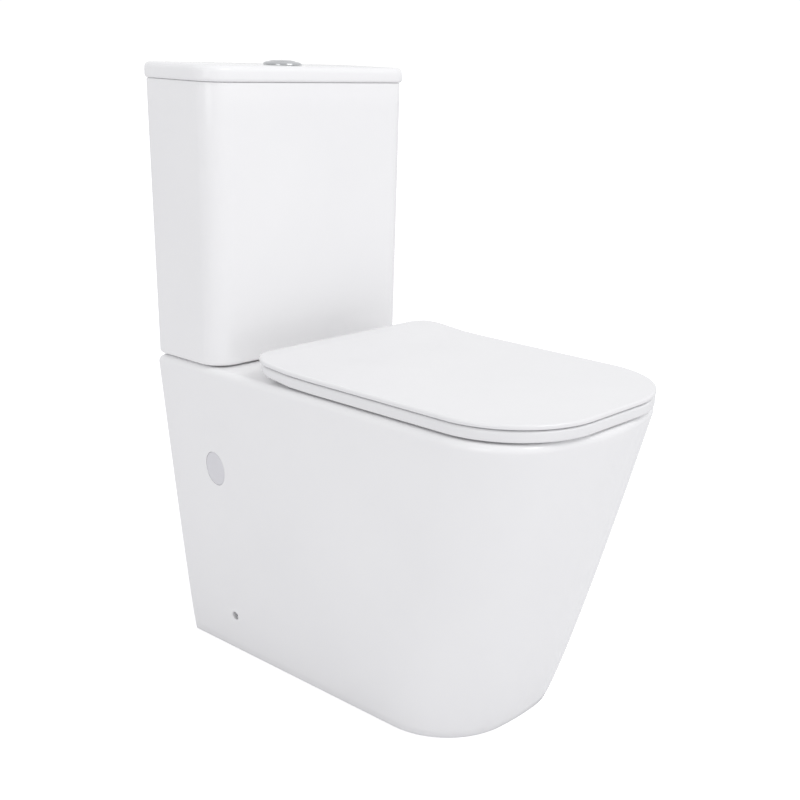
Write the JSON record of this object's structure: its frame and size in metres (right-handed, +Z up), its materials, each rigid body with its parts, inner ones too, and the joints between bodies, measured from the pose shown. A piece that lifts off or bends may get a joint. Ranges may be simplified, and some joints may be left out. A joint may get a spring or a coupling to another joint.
{
  "type": "close coupled toilet",
  "caption": "Back-to-wall close coupled toilet: tapered skirted pan, cistern bolted on its rear shelf, slim soft-close seat and lid, dual push button flush.",
  "frame": {"origin": "on the floor, at the middle of the object's width and depth", "axes": "+Z up, -Y the front that the user faces, +Y towards the wall, +X to the right when seen from the front"},
  "size_m": [0.367, 0.6578, 0.8435],
  "materials": {
    "china": "gloss white glaze",
    "seat_plastic": "gloss white moulded thermoset",
    "cap_plastic": "satin, faintly lavender white",
    "chrome": "bright polished plate",
    "steel": "plain stainless",
    "brass": "plain turned",
    "rubber": "matt black moulded",
    "buffer_rubber": "translucent white, matt",
    "white_plastic": "moulded natural white",
    "blue_plastic": "moulded blue",
    "grey_plastic": "moulded grey"
  },
  "bodies": {
    "root": {"pan": "china", "access_cap_left": "cap_plastic", "access_cap_right": "cap_plastic", "floor_bracket_left": "grey_plastic", "floor_bracket_right": "grey_plastic", "bracket_anchor_left": "steel", "bracket_anchor_right": "steel", "side_fixing_screw_left": "steel", "side_fixing_screw_right": "steel", "coupling_bolt_left": "brass", "coupling_bolt_right": "brass", "bolt_seal_left": "rubber", "bolt_seal_right": "rubber", "bolt_washer_left": "steel", "bolt_washer_right": "steel", "wing_nut_left": "brass", "wing_nut_right": "brass", "hinge_post_left": "chrome", "hinge_post_right": "chrome", "hinge_pin_left": "steel", "hinge_pin_right": "steel", "hinge_stud_left": "steel", "hinge_stud_right": "steel", "hinge_washer_left": "rubber", "hinge_washer_right": "rubber", "hinge_nut_left": "white_plastic", "hinge_nut_right": "white_plastic", "cistern_tank": "china", "coupling_gasket": "rubber", "flush_valve_body": "white_plastic", "flush_valve_seal": "rubber", "flush_valve_nut": "white_plastic", "flush_valve_head": "grey_plastic", "fill_valve_body": "white_plastic", "fill_valve_seal": "rubber", "fill_valve_nut": "white_plastic", "fill_valve_cap": "grey_plastic"},
    "seat": {"seat_ring": "seat_plastic", "seat_buffer_front_left": "buffer_rubber", "seat_buffer_front_right": "buffer_rubber", "seat_buffer_rear_left": "buffer_rubber", "seat_buffer_rear_right": "buffer_rubber"},
    "lid": {"seat_lid": "seat_plastic", "lid_buffer_left": "buffer_rubber", "lid_buffer_right": "buffer_rubber"},
    "cistern_cover": {"cistern_lid": "china", "button_bezel": "chrome", "bezel_nut": "white_plastic", "full_button_spring": "steel", "half_button_spring": "steel"},
    "full_button": {"full_flush_button": "chrome", "full_flush_rod": "white_plastic"},
    "half_button": {"half_flush_button": "chrome", "half_flush_rod": "white_plastic"},
    "plunger": {"flush_plunger": "blue_plastic", "plunger_seal": "rubber"},
    "float": {"float_cup": "blue_plastic", "float_link": "white_plastic"},
    "lever": {"float_lever": "grey_plastic"}
  },
  "joints": [
    {"name": "seat_hinge", "type": "hinge", "parent": "root", "child": "seat", "pos_m": [0, 0.12885, 0.4635], "axis": [-1, 0, 0], "range_deg": [0, 95]},
    {"name": "lid_hinge", "type": "hinge", "parent": "seat", "child": "lid", "pos_m": [0, 0.12885, 0.4635], "axis": [1, 0, 0], "range_deg": [-95, 0]},
    {"name": "cistern_lid_lift", "type": "slide", "parent": "root", "child": "cistern_cover", "axis": [0, 0, 1], "range_m": [0, 0.12]},
    {"name": "full_flush_press", "type": "slide", "parent": "cistern_cover", "child": "full_button", "axis": [0, 0, -1], "range_m": [0, 0.008], "stiffness_N_per_m": 300, "springref_m": -0.008, "deforming": ["full_button_spring"]},
    {"name": "half_flush_press", "type": "slide", "parent": "cistern_cover", "child": "half_button", "axis": [0, 0, -1], "range_m": [0, 0.008], "stiffness_N_per_m": 300, "springref_m": -0.008, "deforming": ["half_button_spring"]},
    {"name": "plunger_lift", "type": "slide", "parent": "root", "child": "plunger", "axis": [0, 0, 1], "range_m": [0, 0.012]},
    {"name": "float_rise", "type": "slide", "parent": "root", "child": "float", "axis": [0, 0, 1], "range_m": [0, 0.012]},
    {"name": "lever_swing", "type": "hinge", "parent": "root", "child": "lever", "pos_m": [0.141, 0.26285, 0.742], "axis": [0, 1, 0], "range_deg": [0, 19.2]}
  ],
  "couplings": [
    {"joint": "plunger_lift", "follows": "full_flush_press", "ratio": 1.5},
    {"joint": "lever_swing", "follows": "float_rise", "rad_per_m": 27.8}
  ]
}
